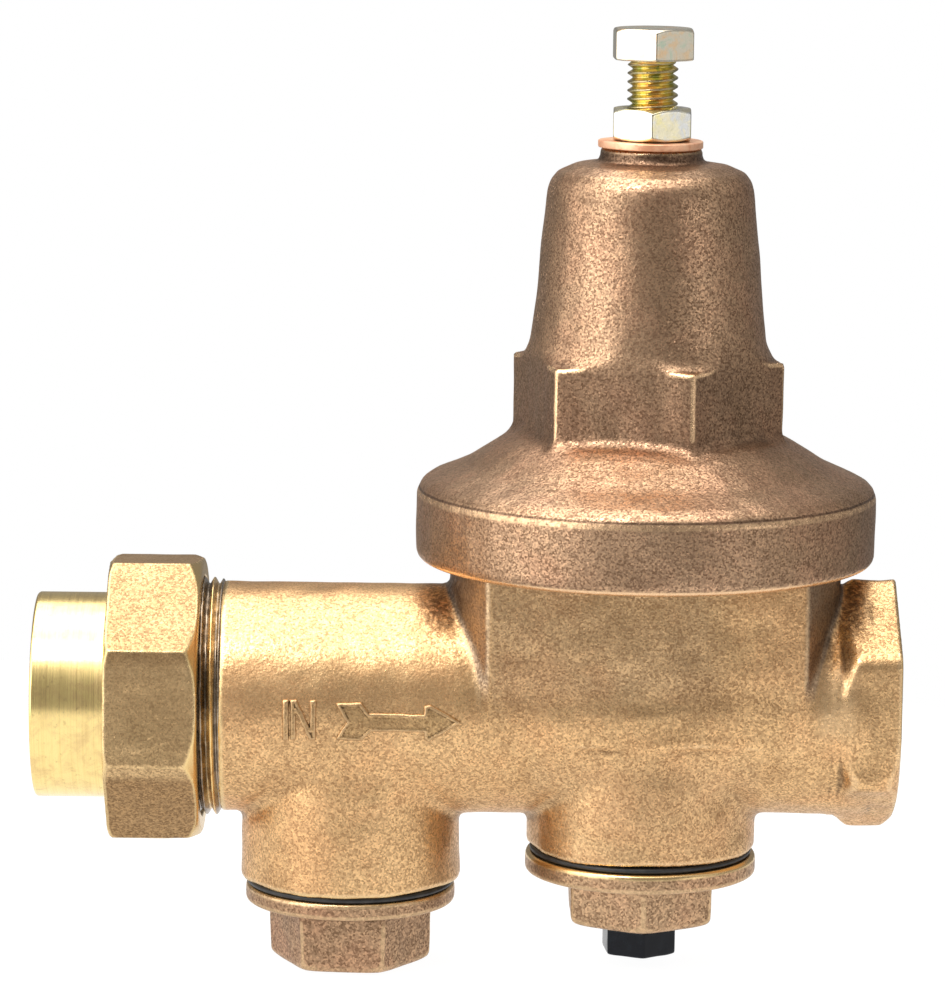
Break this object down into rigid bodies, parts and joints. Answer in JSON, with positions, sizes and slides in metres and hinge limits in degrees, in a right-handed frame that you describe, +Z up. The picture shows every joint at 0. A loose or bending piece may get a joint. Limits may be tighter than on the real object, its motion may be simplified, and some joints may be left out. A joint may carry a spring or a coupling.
{
  "type": "pressure reducing valve",
  "caption": "Spring-and-diaphragm water pressure reducing valve with bell housing, adjusting screw, threaded outlet, union inlet and built-in strainer.",
  "frame": {"origin": "centre of the outlet mouth, on the pipe axis, in the plane of the outlet face", "axes": "+X out of the outlet along the flow, +Z up the adjusting spindle, -Y towards the side with the flow arrow"},
  "size_m": [0.1605, 0.0856, 0.1761],
  "materials": {
    "body_bronze": "sand-cast bronze, fine grain, warm tan",
    "bell_bronze": "sand-cast bronze, darker brown, fine grain",
    "plug_bronze": "cast bronze with a machined sealing rim",
    "nut_bronze": "cast bronze with machined bevels",
    "tail_brass": "turned bright brass",
    "turned_brass": "turned brass",
    "zinc_screw": "zinc plated with a yellow passivate on the thread",
    "zinc_nut": "bright zinc plated",
    "plated_steel": "zinc plated pressed steel",
    "spring_steel": "oiled spring steel",
    "stainless": "stainless steel",
    "copper": "soft copper washer",
    "diaphragm_rubber": "fabric reinforced rubber",
    "seal_rubber": "black nitrile rubber",
    "black_plastic": "glossy black moulded plastic"
  },
  "bodies": {
    "root": {"valve_body": "body_bronze", "bell_housing": "bell_bronze", "seat_ring": "stainless", "friction_ring": "turned_brass", "diaphragm": "diaphragm_rubber", "range_spring": "spring_steel"},
    "spring_button": {"spring_button": "plated_steel"},
    "adjusting_screw": {"adjusting_screw": "zinc_screw"},
    "sealing_washer": {"sealing_washer": "copper"},
    "lock_nut": {"lock_nut": "zinc_nut"},
    "stem": {"valve_stem": "turned_brass", "diaphragm_plate": "plated_steel", "diaphragm_washer": "turned_brass", "stem_nut": "plated_steel", "seat_disc": "seal_rubber", "disc_retainer": "stainless", "disc_holder": "turned_brass"},
    "bottom_plug_oring": {"bottom_plug_oring": "seal_rubber"},
    "bottom_plug": {"bottom_plug": "plug_bronze"},
    "gauge_plug_oring": {"gauge_plug_oring": "seal_rubber"},
    "gauge_plug": {"gauge_plug": "black_plastic"},
    "strainer_screen": {"strainer_screen": "stainless", "strainer_plug_oring": "seal_rubber"},
    "strainer_plug": {"strainer_plug": "plug_bronze"},
    "tailpiece": {"tailpiece": "tail_brass", "union_gasket": "seal_rubber"},
    "union_nut": {"union_nut": "nut_bronze"}
  },
  "joints": [
    {"name": "spring_button_travel", "type": "slide", "parent": "root", "child": "spring_button", "axis": [0, 0, 1], "range_m": [-0.00556, 0.00476]},
    {"name": "adjusting_screw_turn", "type": "hinge", "parent": "spring_button", "child": "adjusting_screw", "pos_m": [-0.047, 0, 0.1199], "axis": [0, 0, 1], "range_deg": [-1260.5, 1080.5]},
    {"name": "sealing_washer_lift", "type": "slide", "parent": "root", "child": "sealing_washer", "axis": [0, 0, 1], "range_m": [0, 0.00159]},
    {"name": "lock_nut_turn", "type": "hinge", "parent": "sealing_washer", "child": "lock_nut", "pos_m": [-0.047, 0, 0.108], "axis": [0, 0, 1], "range_deg": [-0.5, 360.5]},
    {"name": "stem_lift", "type": "slide", "parent": "root", "child": "stem", "axis": [0, 0, 1], "range_m": [0, 0.0032], "stiffness_N_per_m": 4000, "springref_m": -0.004, "deforming": ["range_spring", "diaphragm"]},
    {"name": "bottom_plug_travel", "type": "slide", "parent": "root", "child": "bottom_plug_oring", "axis": [0, 0, 1], "range_m": [-0.00635, 0]},
    {"name": "bottom_plug_turn", "type": "hinge", "parent": "bottom_plug_oring", "child": "bottom_plug", "pos_m": [-0.047, 0, -0.035], "axis": [0, 0, 1], "range_deg": [-1440.5, 0.5]},
    {"name": "gauge_plug_travel", "type": "slide", "parent": "bottom_plug", "child": "gauge_plug_oring", "axis": [0, 0, 1], "range_m": [-0.0047, 0]},
    {"name": "gauge_plug_turn", "type": "hinge", "parent": "gauge_plug_oring", "child": "gauge_plug", "pos_m": [-0.047, 0, -0.045], "axis": [0, 0, 1], "range_deg": [-1800.5, 0.5]},
    {"name": "strainer_travel", "type": "slide", "parent": "root", "child": "strainer_screen", "axis": [0, 0, 1], "range_m": [-0.00635, 0]},
    {"name": "strainer_plug_turn", "type": "hinge", "parent": "strainer_screen", "child": "strainer_plug", "pos_m": [-0.1016, 0, -0.042], "axis": [0, 0, 1], "range_deg": [-1440.5, 0.5]},
    {"name": "union_travel", "type": "slide", "parent": "root", "child": "tailpiece", "axis": [1, 0, 0], "range_m": [-0.00907, 0]},
    {"name": "union_nut_turn", "type": "hinge", "parent": "tailpiece", "child": "union_nut", "pos_m": [-0.138, 0, 0], "axis": [1, 0, 0], "range_deg": [-1800.5, 0.5]}
  ],
  "couplings": [
    {"joint": "adjusting_screw_turn", "follows": "spring_button_travel", "rad_per_m": 3957.9},
    {"joint": "lock_nut_turn", "follows": "sealing_washer_lift", "rad_per_m": 3957.9},
    {"joint": "bottom_plug_turn", "follows": "bottom_plug_travel", "rad_per_m": 3957.9},
    {"joint": "gauge_plug_turn", "follows": "gauge_plug_travel", "rad_per_m": 6679},
    {"joint": "strainer_plug_turn", "follows": "strainer_travel", "rad_per_m": 3957.9},
    {"joint": "union_nut_turn", "follows": "union_travel", "rad_per_m": 3463.2}
  ]
}
